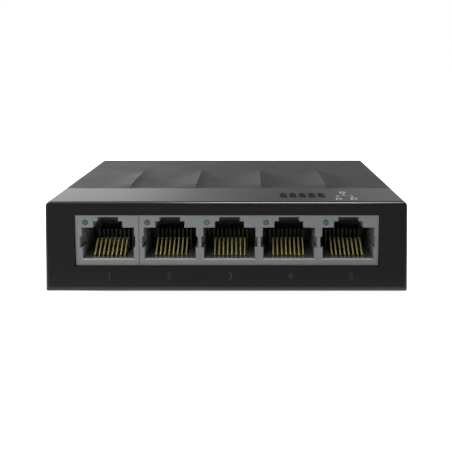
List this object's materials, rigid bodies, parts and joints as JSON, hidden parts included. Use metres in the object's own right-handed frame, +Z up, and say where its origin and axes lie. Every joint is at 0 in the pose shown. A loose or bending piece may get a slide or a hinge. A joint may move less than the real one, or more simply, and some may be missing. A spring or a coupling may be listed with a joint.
{
  "type": "desktop network switch",
  "caption": "Low rectangular desktop network switch: black case with waved lid, a row of grey modular sockets along one side, a barrel power inlet at the rear and rubber feet.",
  "frame": {"origin": "on the table under the middle of the case", "axes": "+Z up; -Y out of the sockets; +X to the right when facing the sockets"},
  "size_m": [0.0836, 0.0522, 0.0222],
  "materials": {
    "case_black": "moulded black, satin, with a polished strip along the front of the lid",
    "base_black": "moulded black, fine texture",
    "foot_rubber": "soft black rubber",
    "blank_label": "silver film, blank",
    "screw_steel": "zinc plated",
    "board_green": "green solder mask",
    "socket_grey": "moulded grey",
    "carrier_black": "moulded dark",
    "contact_gold": "gold flashed",
    "lead_tin": "tinned",
    "light_green": "clear tinted lens",
    "transformer_black": "moulded",
    "inlet_black": "moulded black",
    "inlet_nickel": "nickel plated",
    "chip_black": "moulded epoxy",
    "crystal_can": "drawn can",
    "ferrite_grey": "sintered",
    "capacitor_can": "drawn can",
    "ceramic_tan": "fired",
    "resistor_black": "glazed"
  },
  "bodies": {
    "chassis": {"base_plate": "base_black", "board_screws": "screw_steel", "case_screws": "screw_steel", "chip_capacitors": "ceramic_tan", "chip_resistors": "resistor_black", "circuit_board": "board_green", "clock_crystal": "crystal_can", "electrolytic_capacitors": "capacitor_can", "four_jack_housing": "socket_grey", "front_left_foot": "foot_rubber", "front_right_foot": "foot_rubber", "light_leads": "lead_tin", "memory_chip": "chip_black", "port_1_contact_carrier": "carrier_black", "port_1_contact_tails": "contact_gold", "port_1_light": "light_green", "port_1_line_transformer": "transformer_black", "port_2_contact_carrier": "carrier_black", "port_2_contact_tails": "contact_gold", "port_2_light": "light_green", "port_2_line_transformer": "transformer_black", "port_3_contact_carrier": "carrier_black", "port_3_contact_tails": "contact_gold", "port_3_light": "light_green", "port_3_line_transformer": "transformer_black", "port_4_contact_carrier": "carrier_black", "port_4_contact_tails": "contact_gold", "port_4_light": "light_green", "port_4_line_transformer": "transformer_black", "port_5_contact_carrier": "carrier_black", "port_5_contact_tails": "contact_gold", "port_5_light": "light_green", "port_5_line_transformer": "transformer_black", "power_inductor": "ferrite_grey", "power_inlet_body": "inlet_black", "power_inlet_pin": "inlet_nickel", "power_inlet_terminals": "lead_tin", "rating_label": "blank_label", "rear_left_foot": "foot_rubber", "rear_right_foot": "foot_rubber", "single_jack_housing": "socket_grey", "switch_chip": "chip_black", "switch_chip_leads": "lead_tin", "top_cover": "case_black", "transformer_leads": "lead_tin", "voltage_regulator": "chip_black"},
    "port_1_contacts": {"port_1_contact_springs": "contact_gold"},
    "port_2_contacts": {"port_2_contact_springs": "contact_gold"},
    "port_3_contacts": {"port_3_contact_springs": "contact_gold"},
    "port_4_contacts": {"port_4_contact_springs": "contact_gold"},
    "port_5_contacts": {"port_5_contact_springs": "contact_gold"},
    "inlet_leaf": {"power_inlet_leaf": "inlet_nickel"}
  },
  "joints": [
    {"name": "port_1_contact_flex", "type": "hinge", "parent": "chassis", "child": "port_1_contacts", "pos_m": [-0.0272, -0.02395, 0.00885], "axis": [-1, 0, 0], "range_deg": [0, 13], "stiffness_Nm_per_rad": 0.05},
    {"name": "port_2_contact_flex", "type": "hinge", "parent": "chassis", "child": "port_2_contacts", "pos_m": [-0.01295, -0.02395, 0.00885], "axis": [-1, 0, 0], "range_deg": [0, 13], "stiffness_Nm_per_rad": 0.05},
    {"name": "port_3_contact_flex", "type": "hinge", "parent": "chassis", "child": "port_3_contacts", "pos_m": [0.0007, -0.02395, 0.00885], "axis": [-1, 0, 0], "range_deg": [0, 13], "stiffness_Nm_per_rad": 0.05},
    {"name": "port_4_contact_flex", "type": "hinge", "parent": "chassis", "child": "port_4_contacts", "pos_m": [0.01435, -0.02395, 0.00885], "axis": [-1, 0, 0], "range_deg": [0, 13], "stiffness_Nm_per_rad": 0.05},
    {"name": "port_5_contact_flex", "type": "hinge", "parent": "chassis", "child": "port_5_contacts", "pos_m": [0.028, -0.02395, 0.00885], "axis": [-1, 0, 0], "range_deg": [0, 13], "stiffness_Nm_per_rad": 0.05},
    {"name": "inlet_leaf_flex", "type": "hinge", "parent": "chassis", "child": "inlet_leaf", "pos_m": [0.027, 0.01345, 0.0084], "axis": [-1, 0, 0], "range_deg": [0, 6], "stiffness_Nm_per_rad": 0.05}
  ]
}
